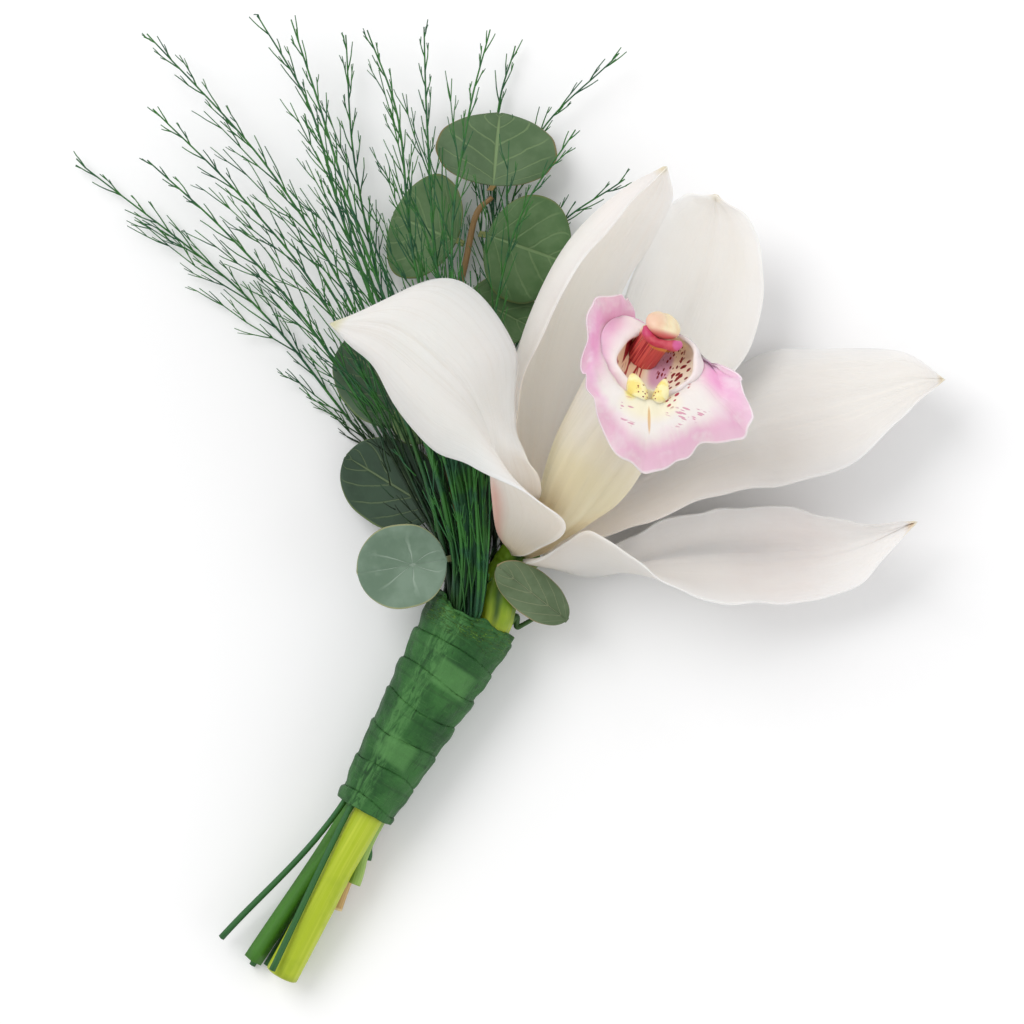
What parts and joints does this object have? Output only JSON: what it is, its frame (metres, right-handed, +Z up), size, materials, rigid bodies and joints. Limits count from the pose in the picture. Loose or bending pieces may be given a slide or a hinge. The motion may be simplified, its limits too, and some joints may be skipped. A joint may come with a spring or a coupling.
{
  "type": "boutonniere",
  "caption": "Buttonhole flower lying on its back: a white and pink cymbidium orchid with eucalyptus leaves and fine fern fronds, bound with green floral tape.",
  "frame": {"origin": "centre of the footprint, on the surface that the boutonniere lies on", "axes": "+Z up from that surface, +Y along the spray from the cut stems to the frond tips, +X towards the side that the flower leans to"},
  "size_m": [0.1384, 0.1538, 0.0504],
  "materials": {
    "petal_white": "satin",
    "lip_pink": "satin",
    "column_cream": "satin",
    "orchid_stem": "satin",
    "light_stem": "satin",
    "eucalyptus_twig": "matte",
    "eucalyptus_leaf": "matte",
    "fern_green": "satin",
    "floral_tape": "matte"
  },
  "bodies": {
    "root": {"anther_cap": "column_cream", "column": "column_cream", "dorsal_sepal": "petal_white", "eucalyptus_leaf_collar": "eucalyptus_leaf", "eucalyptus_leaf_front": "eucalyptus_leaf", "eucalyptus_leaf_hidden": "eucalyptus_leaf", "eucalyptus_leaf_lower_left": "eucalyptus_leaf", "eucalyptus_leaf_middle_left": "eucalyptus_leaf", "eucalyptus_leaf_small": "eucalyptus_leaf", "eucalyptus_leaf_top": "eucalyptus_leaf", "eucalyptus_leaf_upper_left": "eucalyptus_leaf", "eucalyptus_leaf_upper_right": "eucalyptus_leaf", "eucalyptus_side_shoot": "light_stem", "eucalyptus_twig": "eucalyptus_twig", "fern_frond_01": "fern_green", "fern_frond_02": "fern_green", "fern_frond_03": "fern_green", "fern_frond_04": "fern_green", "fern_frond_05": "fern_green", "fern_frond_06": "fern_green", "fern_frond_07": "fern_green", "fern_frond_08": "fern_green", "fern_frond_09": "fern_green", "fern_frond_10": "fern_green", "fern_frond_11": "fern_green", "fern_frond_12": "fern_green", "fern_frond_13": "fern_green", "fern_frond_14": "fern_green", "floral_tape": "floral_tape", "flower_stalk": "orchid_stem", "lateral_sepal_left": "petal_white", "lateral_sepal_right": "petal_white", "lip": "lip_pink", "petal_left": "petal_white", "petal_right": "petal_white"}
  },
  "joints": []
}
